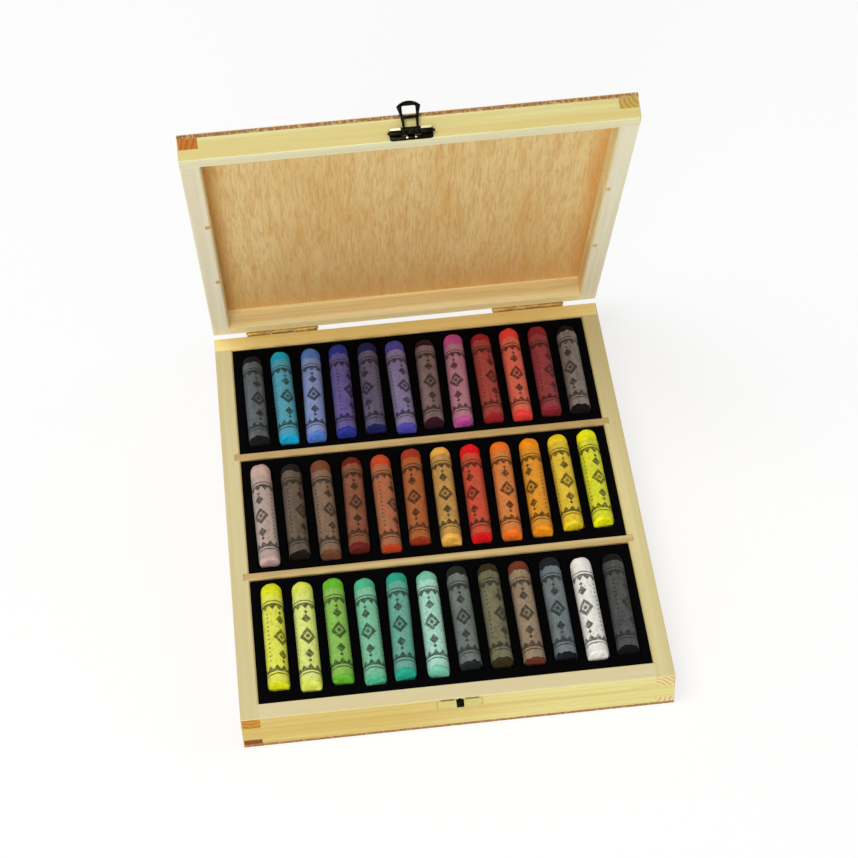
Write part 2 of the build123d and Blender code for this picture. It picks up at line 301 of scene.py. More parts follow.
# glow is the ply's deeper tone, used for its figure and for the painted shade at the inner face's edges
panels = {
    "lid_panel": {"face": "#EED292", "pore": "#C78C4A", "glow": "#D89640", "edge": "#7E5426", "seed": 3.3},
    "base_bottom_panel": {
        "face": "#D9BC84", "pore": "#B4834C", "glow": "#C79450", "edge": "#8E6236", "seed": 7.1,
    },
}
ply = {
    "thickness": 2.5,
    "flash": "#F4E2B0",
    "layer": "#C89C5E",
    "speck": "#D2AE7C",
    "edgeShadeShare": 0.7,  # painted shade: how much darker the inner face grows towards the rails
    "relief": 0.05,
}


def caseSpace(tree, onLid, alongY):
    # place and normal as if the lid were shut, turned so that the grain runs along X
    source = add(tree, "TexCoord")
    place, normal = source.outputs["Object"], source.outputs["Normal"]
    turns = []
    if onLid:
        shift = hingeAxis - Matrix.Rotation(lidOpening, 3, "X") @ hingeAxis
        turns.append(((lidOpening, 0, 0), shift))
    if alongY:
        turns.append(((0, 0, -pi / 2), Vector()))
    for turn, shift in turns:
        place = add(tree, "Mapping", {"Vector": place, "Rotation": turn, "Location": shift}).outputs[0]
        normal = add(tree, "Mapping", {"Vector": normal, "Rotation": turn}, vector_type="VECTOR").outputs[0]
    return place, normal


def woodEnd(tree, look, place, parts, alongY):
    # arcs round the heart of the tree, which mostly lies outside the rail
    seed = look["seed"]
    upper = calc(tree, "GREATER_THAN", parts["Z"], endGrain["lowTop"] * mm)
    base = blend(tree, upper, colour(look.get("lowEnd", look["end"])), colour(look["end"]))
    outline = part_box("base_front_rail" if alongY else "base_left_rail")
    outward, heartHeight = look["heart"]
    heartPlace = (outline[1].x if alongY else outline[1].y) + (outward - endGrain["halfRail"]) * mm
    aside = calc(tree, "SUBTRACT", calc(tree, "ABSOLUTE", parts["Y"]), heartPlace)
    upward = calc(tree, "SUBTRACT", parts["Z"], heartHeight * mm)
    squares = calc(tree, "ADD", product(tree, aside, aside), product(tree, upward, upward))
    reach = calc(tree, "SQRT", squares)
    wander = product(tree, cloud(tree, place, 1, (20, 75, 75), 2, seed=seed + 3), endGrain["wander"] * mm)
    rings = product(tree, calc(tree, "ADD", reach, wander), 1 / (endGrain["gap"] * mm))
    rings = ramp(tree, calc(tree, "FRACT", rings), (0.0, 0.0), (0.25, 0.15), (0.7, 1.0), (1.0, 0.0))
    pores = ramp(tree, cloud(tree, place, 1600, detail=3, seed=seed), (0.3, 0.4), (0.6, 1))
    darker = product(tree, rings, pores, endGrain["share"])
    return blend(tree, darker, base, blend(tree, 1.0, base, endGrain["tint"], "MULTIPLY"))


def pineMaterial(node):
    look = rails[node]
    seed = look["seed"]
    alongY = "left" in node or "right" in node
    material, tree = newTree(node + " pine")
    place, normal = caseSpace(tree, node.startswith("lid"), alongY)
    parts = add(tree, "SeparateXYZ", {0: place}).outputs
    facing = add(tree, "SeparateXYZ", {0: normal}).outputs
    isRim = ramp(tree, calc(tree, "ABSOLUTE", facing["Z"]), (0.5, 0), (0.9, 1))
    figure = rescale(tree, isRim, look.get("figure", 1.0), grain["rimShare"])

    fine = 1 / (grain["fibreWidth"] * mm)
    board = cloud(tree, place, 1, (4, 40, 40), 2, seed=seed)
    band = cloud(tree, place, 1, (3, 210, 210), 2, 0.5, seed + 8)
    fibre = cloud(tree, place, 1, (20, fine, fine), 4, 0.6, seed)
    fleck = cloud(tree, place, 1, (90, 2600, 2600), 2, 0.5, seed + 2)
    wander = cloud(tree, place, 1, (7, 26, 26), 2, seed=seed + 4)
    rings = calc(tree, "ADD", parts["Y"], product(tree, parts["Z"], grain["ringLean"]))
    rings = calc(tree, "ADD", rings, product(tree, wander, grain["ringWander"] * mm))
    rings = calc(tree, "FRACT", product(tree, rings, 1 / (grain["ringGap"] * mm)))
    rings = ramp(tree, rings, (0.0, 0.0), (0.5, 0.2), (0.85, 1.0), (1.0, 0.0))

    face, streak = colour(look["face"]), colour(grain["streak"])
    if "farFace" in look:
        left, right = grain["fade"]
        fade = add(tree, "MapRange", {0: parts["X"], 1: left * mm, 2: right * mm}).outputs[0]
        face = blend(tree, fade, face, colour(look["farFace"]))
    base = blend(tree, isRim, face, colour(look["rim"]))
    for pattern, start, end, share in (
        (board, 0.35, 0.7, 0.25), (band, 0.42, 0.62, 0.42), (fibre, 0.45, 0.75, 0.2),
    ):
        amount = product(tree, ramp(tree, pattern, (start, 0), (end, 1)), share, figure)
        base = blend(tree, amount, base, streak)
    base = blend(tree, product(tree, rings, grain["ringShare"], figure), base, streak)
    pale = product(tree, ramp(tree, band, (0.3, 1), (0.46, 0)), 0.3)
    base = blend(tree, pale, base, colour(grain["pale"]))
    flecks = product(tree, ramp(tree, fleck, (0.55, 0), (0.8, 1)), grain["fleckShare"], figure)
    base = blend(tree, flecks, base, colour(grain["fleck"]))

    if "end" in look:
        low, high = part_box("base_left_rail" if alongY else "base_front_rail")
        boardEnd = (high.y - low.y if alongY else high.x - low.x) / 2 - endGrain["skin"] * mm
        farOut = calc(tree, "GREATER_THAN", calc(tree, "ABSOLUTE", parts["X"]), boardEnd)
        isEnd = product(tree, ramp(tree, calc(tree, "ABSOLUTE", facing["X"]), (0.72, 0), (0.82, 1)), farOut)
        base = blend(tree, isEnd, base, woodEnd(tree, look, place, parts, alongY))
    height = calc(tree, "SUBTRACT", product(tree, fibre, 0.6), product(tree, rings, 0.25))
    satin = {"Base Color": base, "Roughness": rescale(tree, fibre, 0.42, 0.62), "Specular IOR Level": 0.3}
    finishTree(tree, satin, height, grain["relief"] * mm, 0.6)
    return material


def plyMaterial(node):
    look = panels[node]
    seed = look["seed"]
    material, tree = newTree(node + " plywood")
    place, normal = caseSpace(tree, node.startswith("lid"), True)
    parts = add(tree, "SeparateXYZ", {0: place}).outputs
    facing = add(tree, "SeparateXYZ", {0: normal}).outputs
    flow = cloud(tree, place, 1, (5, 20, 20), 3, seed=seed)
    veil = cloud(tree, place, 1, (16, 170, 170), 4, 0.6, seed + 1)
    streak = cloud(tree, place, 1, (70, 1150, 1150), 4, 0.6, seed + 2)
    flash = cloud(tree, place, 1, (40, 620, 620), 3, 0.5, seed + 5)
    base = colour(look["face"])
    for pattern, start, end, share, tint in (
        (flow, 0.4, 0.68, 0.3, look["glow"]), (veil, 0.42, 0.7, 0.4, look["glow"]),
        (flash, 0.48, 0.7, 0.26, ply["flash"]), (streak, 0.46, 0.64, 0.42, look["pore"]),
    ):
        amount = product(tree, ramp(tree, pattern, (start, 0), (end, 1)), share)
        base = blend(tree, amount, base, colour(tint))

    low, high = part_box("base_bottom_panel")  # the lid's panel has the same outline
    halfLength, halfWidth = (high.y - low.y) / 2, (high.x - low.x) / 2
    sideways = calc(tree, "DIVIDE", calc(tree, "ABSOLUTE", parts["Y"]), halfWidth)
    lengthways = calc(tree, "DIVIDE", parts["X"], halfLength)
    # painted shade: the inner face is darker towards the side rails and the rear
    nearSides = ramp(tree, sideways, (0.8, 0), (0.93, 1))
    nearRear = ramp(tree, lengthways, (0.3, 0), (0.95, 0.7))
    paintedEdgeShade = calc(tree, "MAXIMUM", nearSides, nearRear)
    inside = calc(tree, "LESS_THAN" if node == "lid_panel" else "GREATER_THAN", facing["Z"], 0.0)
    base = blend(tree, product(tree, paintedEdgeShade, inside, ply["edgeShadeShare"]), base, colour(look["glow"]))

    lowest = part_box(node)[0].z if node == "base_bottom_panel" else 0
    layers = calc(tree, "SUBTRACT", parts["Z"], lowest)
    layers = calc(tree, "FRACT", product(tree, layers, 1 / (ply["thickness"] * mm)))
    layers = ramp(tree, layers, (0.0, 0.9), (0.26, 0.9), (0.3, 0.1), (0.7, 0.1), (0.74, 0.9), smooth=False)
    speck = ramp(tree, cloud(tree, place, 520, detail=5, roughness=0.7, seed=seed), (0.46, 0), (0.64, 1))
    edge = blend(tree, product(tree, layers, 0.3), colour(look["edge"]), colour(ply["layer"]))
    edge = blend(tree, product(tree, speck, 0.75), edge, colour(ply["speck"]))
    isFace = ramp(tree, calc(tree, "ABSOLUTE", facing["Z"]), (0.4, 0), (0.8, 1))
    final = blend(tree, isFace, edge, base)
    matt = {"Base Color": final, "Roughness": rescale(tree, streak, 0.45, 0.65), "Specular IOR Level": 0.25}
    finishTree(tree, matt, product(tree, streak, -1), ply["relief"] * mm, 0.5)
    return material


def dress(node, material):
    meshData = frame["nodes"][node].data
    meshData.materials.clear()
    meshData.materials.append(material)


for railName in rails:
    dress(railName, pineMaterial(railName))
for panelName in panels:
    dress(panelName, plyMaterial(panelName))
print("the wood is finished")


# metal

# painted reflection: the near-black bronze and the pale brass stand for one polished brass, dark where it mirrors
# the dark room, pale where it mirrors the pale floor
metals = {
    "bronze": {"low": "#0A0907", "high": "#1F1C12", "rough": (0.22, 0.4), "metallic": 1.0},
    # the latch plate's bronze, with a painted highlight bar
    "bronzeWithHighlight": {"low": "#0A0907", "high": "#1F1C12", "rough": (0.22, 0.4), "metallic": 1.0},
    "brass": {"low": "#A07C3C", "high": "#C8A25A", "rough": (0.42, 0.6), "metallic": 0.9},
    "paleBrass": {"low": "#D0C272", "high": "#DACC7C", "rough": (0.32, 0.42), "metallic": 0.4},
    "steel": {"low": "#A09470", "high": "#F0EAD0", "rough": (0.2, 0.35), "metallic": 1.0},
}
# painted highlight: a pale bar on the latch plate's top, over its outer knuckles
highlightBar = {"colour": "#EEE4B4", "share": 0.94, "sideways": (5.3, 10.9), "aboveRim": 5.1}
# painted shadow: a dark line along the catch plate's upper edge
edgeShadow = {"colour": "#5E5220", "share": 0.8, "sideways": (3.0, 10.8), "width": 1.0}
hardware = {
    "latch_plate": {"metal": "bronzeWithHighlight", "body": "lid", "slot": "dark_bronze", "ease": 0.12},
    "latch_pin": {"metal": "bronze", "body": "lid", "slot": "dark_bronze", "ease": 0.2},
    "latch_loop": {"metal": "bronze", "body": "loop", "slot": "dark_bronze", "ease": 0.14},
    "catch_plate": {"metal": "paleBrass", "body": "base", "slot": "catch_brass", "ease": 0.08},
    "catch_hook": {"metal": "bronze", "body": "base", "slot": "dark_bronze", "ease": 0.14},
    "base_hinge_leaves": {"metal": "brass", "body": "base", "slot": "hinge_brass", "ease": 0.12},
    "lid_hinge_leaves": {"metal": "brass", "body": "lid", "slot": "hinge_brass", "ease": 0.12},
    "hinge_pins": {"metal": "brass", "body": "base", "slot": "hinge_brass", "ease": 0.25},
}
easing = {"merge": 0.002, "flat": 0.5, "edgeFrom": 34, "smoothTo": 32}  # one length, then angles


def between(tree, value, low, high, soft):
    # one from low to high, with soft edges
    rise = add(tree, "MapRange", {0: value, 1: low - soft, 2: low + soft}).outputs[0]
    fall = add(tree, "MapRange", {0: value, 1: high - soft, 2: high + soft, 3: 1.0, 4: 0.0}).outputs[0]
    return product(tree, rise, fall)


def paintedHighlightBar(tree, shade):
    # painted highlight: bright above the latch's outer knuckles, where light catches the plate's top
    parts = add(tree, "SeparateXYZ", {0: caseSpace(tree, True, False)[0]}).outputs
    start, end = highlightBar["sideways"]
    span = between(tree, away(tree, parts["X"], latchMiddle), start * mm, end * mm, 0.2 * mm)
    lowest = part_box("base_front_rail")[1].z + lidGap + highlightBar["aboveRim"] * mm
    highlightShare = product(tree, span, calc(tree, "GREATER_THAN", parts["Z"], lowest), highlightBar["share"])
    return blend(tree, highlightShare, shade, colour(highlightBar["colour"]))


def paintedShadowLine(tree, place, shade):
    # painted shadow: dark along the catch plate's upper edge
    parts = add(tree, "SeparateXYZ", {0: place}).outputs
    start, end = edgeShadow["sideways"]
    span = between(tree, away(tree, parts["X"], latchMiddle), start * mm, end * mm, 0.5 * mm)
    top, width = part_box("catch_plate")[1].z, edgeShadow["width"] * mm
    line = product(tree, span, between(tree, parts["Z"], top - width, top + width, 0.2 * mm), edgeShadow["share"])
    return blend(tree, line, shade, colour(edgeShadow["colour"]))


def metalMaterial(name):
    look = metals[name]
    low, high = colour(look["low"]), colour(look["high"])
    material, tree = newTree(name)
    place = add(tree, "TexCoord").outputs["Object"]
    tarnish = cloud(tree, place, 420, detail=4, roughness=0.6)
    scratch = cloud(tree, place, 1, (1800, 260, 1800), 2)
    shade = blend(tree, ramp(tree, tarnish, (0.35, 0), (0.68, 1)), low, high)
    shade = blend(tree, product(tree, ramp(tree, scratch, (0.6, 0), (0.75, 1)), 0.3), shade, high)
    # a painted highlight on the latch plate
    if name == "bronzeWithHighlight":
        shade = paintedHighlightBar(tree, shade)
    # a painted shadow on the catch plate
    if name == "paleBrass":
        shade = paintedShadowLine(tree, place, shade)
    rough = rescale(tree, tarnish, *look["rough"])
    metal = {"Base Color": shade, "Roughness": rough, "Metallic": look["metallic"]}
    finishTree(tree, metal, scratch, 0.02 * mm, 0.4)
    return material


metalMaterials = {name: metalMaterial(name) for name in metals}


def settle(piece, name, body, material, nodes=()):
    # every finished piece gets its name, finish and body here
    piece.name = name
    piece.data.name = name
    piece.data.materials.clear()
    piece.data.materials.append(material)
    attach(piece, body)
    for node in nodes:
        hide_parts(node)
    piece.select_set(False)


def applyModifiers(piece):
    bpy.context.view_layer.objects.active = piece
    for modifier in list(piece.modifiers):
        bpy.ops.object.modifier_apply(modifier=modifier.name)


def take(piece):
    bpy.ops.object.select_all(action="DESELECT")
    piece.select_set(True)
    bpy.context.view_layer.objects.active = piece


def bakePlace(piece):
    take(piece)
    bpy.ops.object.transform_apply(location=True, rotation=True, scale=True)


def copyTo(source, matrix):
    twin = source.copy()
    twin.data = source.data.copy()
    bpy.context.scene.collection.objects.link(twin)
    twin.data.transform(matrix)
    return twin


def easedCopy(node):
    # a copy of the plain solid with its edges taken off
    look = hardware[node]
    piece = bpy.data.objects.new(node + "_eased", frame["nodes"][node].data.copy())
    bpy.context.scene.collection.objects.link(piece)
    take(piece)
    bpy.ops.object.mode_set(mode="EDIT")
    bpy.ops.mesh.select_all(action="SELECT")
    bpy.ops.mesh.remove_doubles(threshold=easing["merge"] * mm)
    bpy.ops.mesh.dissolve_limited(angle_limit=radians(easing["flat"]))
    bpy.ops.object.mode_set(mode="OBJECT")
    bevel = piece.modifiers.new("ease", "BEVEL")
    bevel.width = look["ease"] * mm
    bevel.segments = 2
    bevel.limit_method = "ANGLE"
    bevel.angle_limit = radians(easing["edgeFrom"])
    applyModifiers(piece)
    bpy.ops.object.shade_smooth_by_angle(angle=radians(easing["smoothTo"]))
    settle(piece, node + "_eased", look["body"], metalMaterials[look["metal"]], [node])


for hardwareName in hardware:
    easedCopy(hardwareName)


# screws in the hinge leaves and nails in the latch plate

screw = {
    "head": 2.0, "shank": 1.15, "depth": 0.95, "sunk": 0.03, "ease": 0.06,
    "slotWidth": 0.55, "slotDepth": 0.4, "slotLength": 5,
}
leaf = {  # as the hinge leaves are made
    "height": 10.0, "gauge": 1.0, "holeEdge": 3.2, "holeSpacing": 28.0, "hingeSpacing": 154.4,
}
nail = {  # spread and rise are from the latch's middle and the lid's rim
    "head": 0.7, "height": 0.42, "spread": 2.3, "rise": 1.4, "plateFace": 0.7,
}


def screwHead():
    bpy.ops.mesh.primitive_cone_add(
        vertices=32, radius1=screw["shank"] * mm, radius2=screw["head"] * mm, depth=screw["depth"] * mm,
    )
    head = bpy.context.object
    bpy.ops.mesh.primitive_cube_add(size=1)
    cutter = bpy.context.object
    cutter.scale = (screw["slotLength"] * mm, screw["slotWidth"] * mm, 2 * screw["slotDepth"] * mm)
    cutter.location.z = screw["depth"] * mm / 2
    cut = head.modifiers.new("slot", "BOOLEAN")
    cut.operation = "DIFFERENCE"
    cut.object = cutter
    ease = head.modifiers.new("ease", "BEVEL")
    ease.width = screw["ease"] * mm
    ease.segments = 2
    ease.angle_limit = radians(40)
    applyModifiers(head)
    bpy.data.objects.remove(cutter)
    bpy.ops.object.shade_smooth_by_angle(angle=radians(30))
    return head


def addScrews():
    # two in each leaf, their slots turned as they happened to stop
    head = screwHead()
    pick = random.Random(5)
    low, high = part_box("hinge_pins")
    halfPin = (high.x - low.x - leaf["hingeSpacing"] * mm) / 2
    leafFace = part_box("base_rear_rail")[1].y + leaf["gauge"] * mm
    depth = leafFace - (screw["depth"] / 2 + screw["sunk"]) * mm
    reach = (leaf["height"] - leaf["holeEdge"]) * mm
    count = 0
    for middle in (low.x + halfPin, high.x - halfPin):
        for side in (-1, 1):
            for onLid in (False, True):
                height = hingeAxis.z + (reach if onLid else -reach)
                place = Vector((middle + side * leaf["holeSpacing"] * mm / 2, depth, height))
                stand = Matrix.Translation(place) @ Matrix.Rotation(-pi / 2, 4, "X")
                stand = stand @ Matrix.Rotation(pick.uniform(0, pi), 4, "Z")
                count += 1
                twin = copyTo(head, raised @ stand if onLid else stand)
                body = "lid" if onLid else "base"
                settle(twin, "hinge_screw_%d" % count, body, metalMaterials["brass"])
    bpy.data.objects.remove(head)


def addNails():
    bpy.ops.mesh.primitive_uv_sphere_add(segments=24, ring_count=12, radius=nail["head"] * mm)
    dome = bpy.context.object
    bpy.ops.object.mode_set(mode="EDIT")
    bpy.ops.mesh.bisect(plane_co=(0, 0, 0), plane_no=(0, 0, 1), clear_inner=True, use_fill=True)
    bpy.ops.object.mode_set(mode="OBJECT")
    dome.data.transform(Matrix.Diagonal((1, 1, nail["height"] / nail["head"], 1)))
    bpy.ops.object.shade_smooth_by_angle(angle=radians(40))
    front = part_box("base_front_rail")[0].y - nail["plateFace"] * mm
    height = hingeAxis.z + lidGap / 2 + nail["rise"] * mm
    for count, side in enumerate((-1, 1), 1):
        place = Vector((latchMiddle + side * nail["spread"] * mm, front, height))
        twin = copyTo(dome, raised @ Matrix.Translation(place) @ Matrix.Rotation(pi / 2, 4, "X"))
        settle(twin, "latch_nail_%d" % count, "lid", metalMaterials["steel"])
    bpy.data.objects.remove(dome)


addScrews()
addNails()
print("the metal pieces are in place")


# pastels: a chalky stick and a rolled paper for each, lying a little unevenly

pastels = {  # the chalk's colour, the paper's colour, length, and how far the stick lies to the back
    "lemon": ("#DEE31C", "#D6D950", 72, 1.0), "pale_lime": ("#DBE45C", "#D3DE7C", 74, -1.0),
    "leaf_green": ("#68BC2E", "#84B250", 72, 0.5), "sea_green": ("#52B88C", "#78B896", 72, -2.0),
    "teal": ("#26A68A", "#649E91", 73, -0.5), "mint": ("#76C2A6", "#A2D0C0", 72, -1.5),
    "slate_green": ("#1C2220", "#68706C", 71, 0.5), "olive": ("#322A14", "#6C6A50", 71, 0.0),
    "red_brown": ("#6E3420", "#8E7E66", 71, -0.5), "blue_black": ("#181C22", "#687476", 70, 0.5),
    "white": ("#EFEDE6", "#E0E0D8", 70, -2.0), "black": ("#080808", "#444646", 69, -1.0),
    "pale_pink": ("#C6A7A0", "#A89890", 75, -1.5), "umber": ("#1C140E", "#615244", 70, -1.0),
    "brown": ("#74442C", "#78624F", 73, -2.0), "rust": ("#6C201A", "#804D33", 71, -1.0),
    "orange_red": ("#CC4824", "#996242", 72, -2.0), "burnt_orange": ("#AA3A1E", "#9E5A2A", 71, 1.0),
    "ochre": ("#E8B04B", "#AF8747", 73, -1.0), "scarlet": ("#E6161A", "#B64B30", 73, -1.0),
    "orange": ("#F4761E", "#C4793C", 73, -1.5), "amber": ("#F89818", "#D08D22", 73, -1.0),
    "golden_yellow": ("#F6DA22", "#D4B634", 71, 0.5), "bright_yellow": ("#F2F412", "#CACE2C", 72, 1.5),
    "charcoal": ("#161418", "#565E64", 70, -2.0), "turquoise": ("#1DABD8", "#5098AE", 73, -2.0),
    "sky_blue": ("#5480D2", "#8092C6", 74, -2.0), "ultramarine": ("#2A379E", "#625696", 74, -1.0),
    "indigo": ("#1E2260", "#5E5A76", 72, -0.5), "violet": ("#4E4AB0", "#827AA2", 74, -2.0),
    "plum": ("#341020", "#7E6A6E", 70, -2.0), "magenta": ("#C652A0", "#AC7C8E", 74, -1.5),
    "crimson": ("#A2222A", "#9E423C", 71, -2.0), "vermilion": ("#F4443E", "#D26854", 74, -1.5),
    "carmine": ("#902630", "#8E363E", 72, -1.0), "sepia": ("#100A0A", "#847A74", 70, -2.0),
}
chalk = {
    "radius": 5.95,
    "around": 36,
    "profile": [  # distance from the far tip, and share of the radius
        (0.0, 0.42), (0.35, 0.66), (1.0, 0.84), (2.0, 0.95), (3.4, 1.0), (7.0, 1.0), (12.0, 1.0),
        (36.0, 1.0), (60.0, 1.0), (66.0, 1.0), (68.6, 1.0), (69.9, 0.985), (70.7, 0.93), (71.0, 0.86),
    ],
    "insets": 3,  # rings on the broken end, each a share of the radius further in
    "insetShare": 0.2,
    "slantAcross": (-0.16, 0.16),  # slopes of the break, sideways and from top to bottom
    "slantDown": (-0.1, 0.22),
    "skin": ((260, 0.12), (900, 0.06)),  # cycles a metre, and depth in millimetres, as in the next two
    "chips": (700, 0.7),
    "tipDents": (330, 0.9),
    "brokenReach": 6,  # how far the break and the dents reach along the stick
    "tipReach": 4,
}
paper = {
    "inner": 6.02, "gauge": 0.08, "rise": 0.1, "length": 62.0,
    "lap": 0.07,  # the share of a turn that lies double
    "forward": 3.2,  # from the stick's middle towards the latch
    "around": 54, "along": 34,  # how many faces
    "folds": ((300, 90, 300), 0.08),  # cycles a metre along X, Y and Z, and depth, as in the next two
    "creases": ((500, 240, 500), 0.05),
    "fray": ((420, 0, 420), 1.6),
}
decoration = {  # millimetres, from the middle of the paper
    "girth": 41.0,
    "rings": ((0.714, 0.722, 0.772, 0.78), (0.81, 0.816, 0.838, 0.844)),  # shares of half the length
    "toothRow": 22.4, "toothWidth": 4.1, "toothHeight": 3.0,
    "lozenges": ((12.4, 2.8, 3.6), (17.2, 1.2, 1.5)),  # place along, half width, half length
    "openLozenge": (0, 5.0, 6.4),
    "beadRow": 7.6, "beadSpacing": 3.0, "beadSize": 0.95, "beadsTo": 17.5, "beadShare": 0.8,
    "ink": 0.94,
}
sideShade = {"share": 0.6, "reach": 4.8, "tint": 0.3}  # painted shade on the papers' lower sides, fading out above each stick's axis
layingOut = {
    "firstSeed": 11, "yaw": 1.1, "pitch": 0.35, "sink": 0.15,
    "stickRoll": 0.5, "paperRoll": 0.75, "paperSlip": 1.2,  # rolls in radians, the slip in millimetres
}


def chalkStick():
    # a round end extruded ring by ring along the stick, tip first, towards the latch
    steps = chalk["profile"]
    radius, length = chalk["radius"] * mm, steps[-1][0] * mm
    bpy.ops.mesh.primitive_circle_add(
        vertices=chalk["around"], radius=radius * steps[0][1], fill_type="NGON", rotation=(pi / 2, 0, 0),
        location=(0, length / 2, 0),
    )
    stick = bpy.context.object
    bakePlace(stick)
    bpy.ops.object.mode_set(mode="EDIT")
    bpy.ops.mesh.select_all(action="SELECT")
    for (before, shareBefore), (after, shareAfter) in zip(steps, steps[1:]):
        bpy.ops.mesh.extrude_region_move(TRANSFORM_OT_translate={"value": (0, -(after - before) * mm, 0)})
        ratio = shareAfter / shareBefore
        bpy.ops.transform.resize(value=(ratio, 1, ratio), center_override=(0, length / 2 - after * mm, 0))
    for inset in range(chalk["insets"]):
        bpy.ops.mesh.inset(thickness=radius * chalk["insetShare"])
    bpy.ops.mesh.select_all(action="SELECT")
    bpy.ops.mesh.normals_make_consistent(inside=False)
    bpy.ops.object.mode_set(mode="OBJECT")
    return stick


def paperSheet():
    # a flat sheet rolled into a tube, its last turn lying over the first
    bpy.ops.mesh.primitive_grid_add(x_subdivisions=paper["around"], y_subdivisions=paper["along"], size=1)
    sheet = bpy.context.object
    for vertex in sheet.data.vertices:
        share = vertex.co.x + 0.5
        turn = share * (1 + paper["lap"]) * 2 * pi
        radius = (paper["inner"] + paper["rise"] * share) * mm
        vertex.co = (-radius * sin(turn), vertex.co.y * paper["length"] * mm, -radius * cos(turn))
    return sheet


def anyPlace(pick):
    return Vector([pick.uniform(-50, 50) for axis in range(3)])


def within(value):
    return max(0.0, min(1.0, value))


def worn(stick, length, pick):
    # the copy's own length, slanted break and rubbed skin
    offset = anyPlace(pick)
    stretch = length / chalk["profile"][-1][0]
    slant = Vector((pick.uniform(*chalk["slantAcross"]), 0, pick.uniform(*chalk["slantDown"])))
    chipScale, chipDepth = chalk["chips"]
    dentScale, dentDepth = chalk["tipDents"]
    broken, tip = chalk["brokenReach"], chalk["tipReach"]
    for vertex in stick.data.vertices:
        vertex.co.y *= stretch
        near = within((-vertex.co.y / mm - length / 2 + broken) / broken)
        rub = sum(noise.noise(vertex.co * scale + offset) * depth for scale, depth in chalk["skin"])
        out = Vector((vertex.co.x, 0, vertex.co.z))
        if out.length > 0.1 * mm:
            vertex.co += out.normalized() * rub * mm
        chips = noise.noise(vertex.co * chipScale - offset) * chipDepth
        vertex.co.y += near * (slant.dot(out) + chips * mm * near)
        far = within((vertex.co.y / mm - length / 2 + tip) / tip)
        vertex.co.y += far * noise.noise(vertex.co * dentScale + offset) * dentDepth * mm


def rippleAt(place, scale, offset):
    return noise.noise(Vector([p * s for p, s in zip(place, scale)]) + offset)


def wrinkled(sheet, pick):
    offset = anyPlace(pick)
    foldScale, foldDepth = paper["folds"]
    creaseScale, creaseDepth = paper["creases"]
    frayScale, frayDepth = paper["fray"]
    for vertex in sheet.data.vertices:
        out = Vector((vertex.co.x, 0, vertex.co.z)).normalized()
        edge = abs(vertex.co.y) / (paper["length"] * mm / 2)
        fold = max(rippleAt(vertex.co, foldScale, offset), 0)
        crease = abs(rippleAt(vertex.co, creaseScale, -offset))
        fray = rippleAt(vertex.co, frayScale, offset)
        vertex.co += out * (fold * foldDepth + crease * creaseDepth) * mm
        vertex.co.y += (1 if vertex.co.y > 0 else -1) * edge ** 8 * fray * frayDepth * mm


def chalkMaterial(name):
    material, tree = newTree(name + " chalk")
    place = add(tree, "TexCoord").outputs["Object"]
    body = colour(pastels[name][0])
    patch = ramp(tree, cloud(tree, place, 240, detail=3), (0.35, 0), (0.7, 1))
    dust = ramp(tree, cloud(tree, place, 1300, detail=5, roughness=0.7), (0.5, 0), (0.75, 1))
    shade = blend(tree, product(tree, patch, 0.5), body, tinted(body, 0.62))
    shade = blend(tree, product(tree, dust, 0.5), shade, tinted(body, 1.12, 0.02))
    height = cloud(tree, place, 900, detail=6, roughness=0.7)
    chalky = {"Base Color": shade, "Roughness": 0.92, "Specular IOR Level": 0.15}
    finishTree(tree, chalky, height, 0.25 * mm, 0.8)
    return material


def lozengeShape(tree, sideways, lengthways, measures):
    # nought in a lozenge's middle, one at its outline
    place, halfWidth, halfLength = measures
    reach = away(tree, lengthways, place)
    return calc(
        tree, "ADD", calc(tree, "DIVIDE", sideways, halfWidth), calc(tree, "DIVIDE", reach, halfLength)
    )


def printedMarks(tree, across, along):
    # rings, rows of teeth, lozenges and rows of beads, the same towards both ends
    look = decoration
    lengthways = product(tree, away(tree, along, 0.5), paper["length"])
    sideways = product(tree, away(tree, across, 0.5), look["girth"])
    stops = [(place, value) for ring in look["rings"] for place, value in zip(ring, (0, 1, 1, 0))]
    marks = ramp(tree, calc(tree, "DIVIDE", lengthways, paper["length"] / 2), *stops, smooth=False)

    halfTooth = look["toothWidth"] / 2
    teeth = calc(tree, "PINGPONG", product(tree, across, look["girth"]), halfTooth)
    rise = calc(tree, "SUBTRACT", look["toothRow"], lengthways)
    rise = calc(tree, "DIVIDE", rise, look["toothHeight"])
    teeth = calc(tree, "ADD", calc(tree, "DIVIDE", teeth, halfTooth), rise)
    teeth = ramp(tree, teeth, (0.9, 1), (1.0, 0), smooth=False)
    teeth = product(tree, teeth, calc(tree, "LESS_THAN", lengthways, look["toothRow"]))
    marks = calc(tree, "MAXIMUM", marks, teeth)

    opened = lozengeShape(tree, sideways, lengthways, look["openLozenge"])
    opened = ramp(
        tree, opened, (0.0, 1), (0.26, 1), (0.3, 0.25), (0.48, 0.25), (0.52, 1), (0.94, 1), (1.0, 0),
        smooth=False,
    )
    marks = calc(tree, "MAXIMUM", marks, opened)
    for measures in look["lozenges"]:
        filled = lozengeShape(tree, sideways, lengthways, measures)
        marks = calc(tree, "MAXIMUM", marks, ramp(tree, filled, (0.9, 1), (1.0, 0), smooth=False))

    beadAlong = calc(tree, "PINGPONG", product(tree, along, paper["length"]), look["beadSpacing"] / 2)
    beads = calc(tree, "ADD", away(tree, sideways, look["beadRow"]), beadAlong)
    beads = ramp(tree, calc(tree, "DIVIDE", beads, look["beadSize"]), (0.8, 1), (1.0, 0), smooth=False)
    beads = product(tree, beads, calc(tree, "LESS_THAN", lengthways, look["beadsTo"]), look["beadShare"])
    return calc(tree, "MAXIMUM", marks, beads)


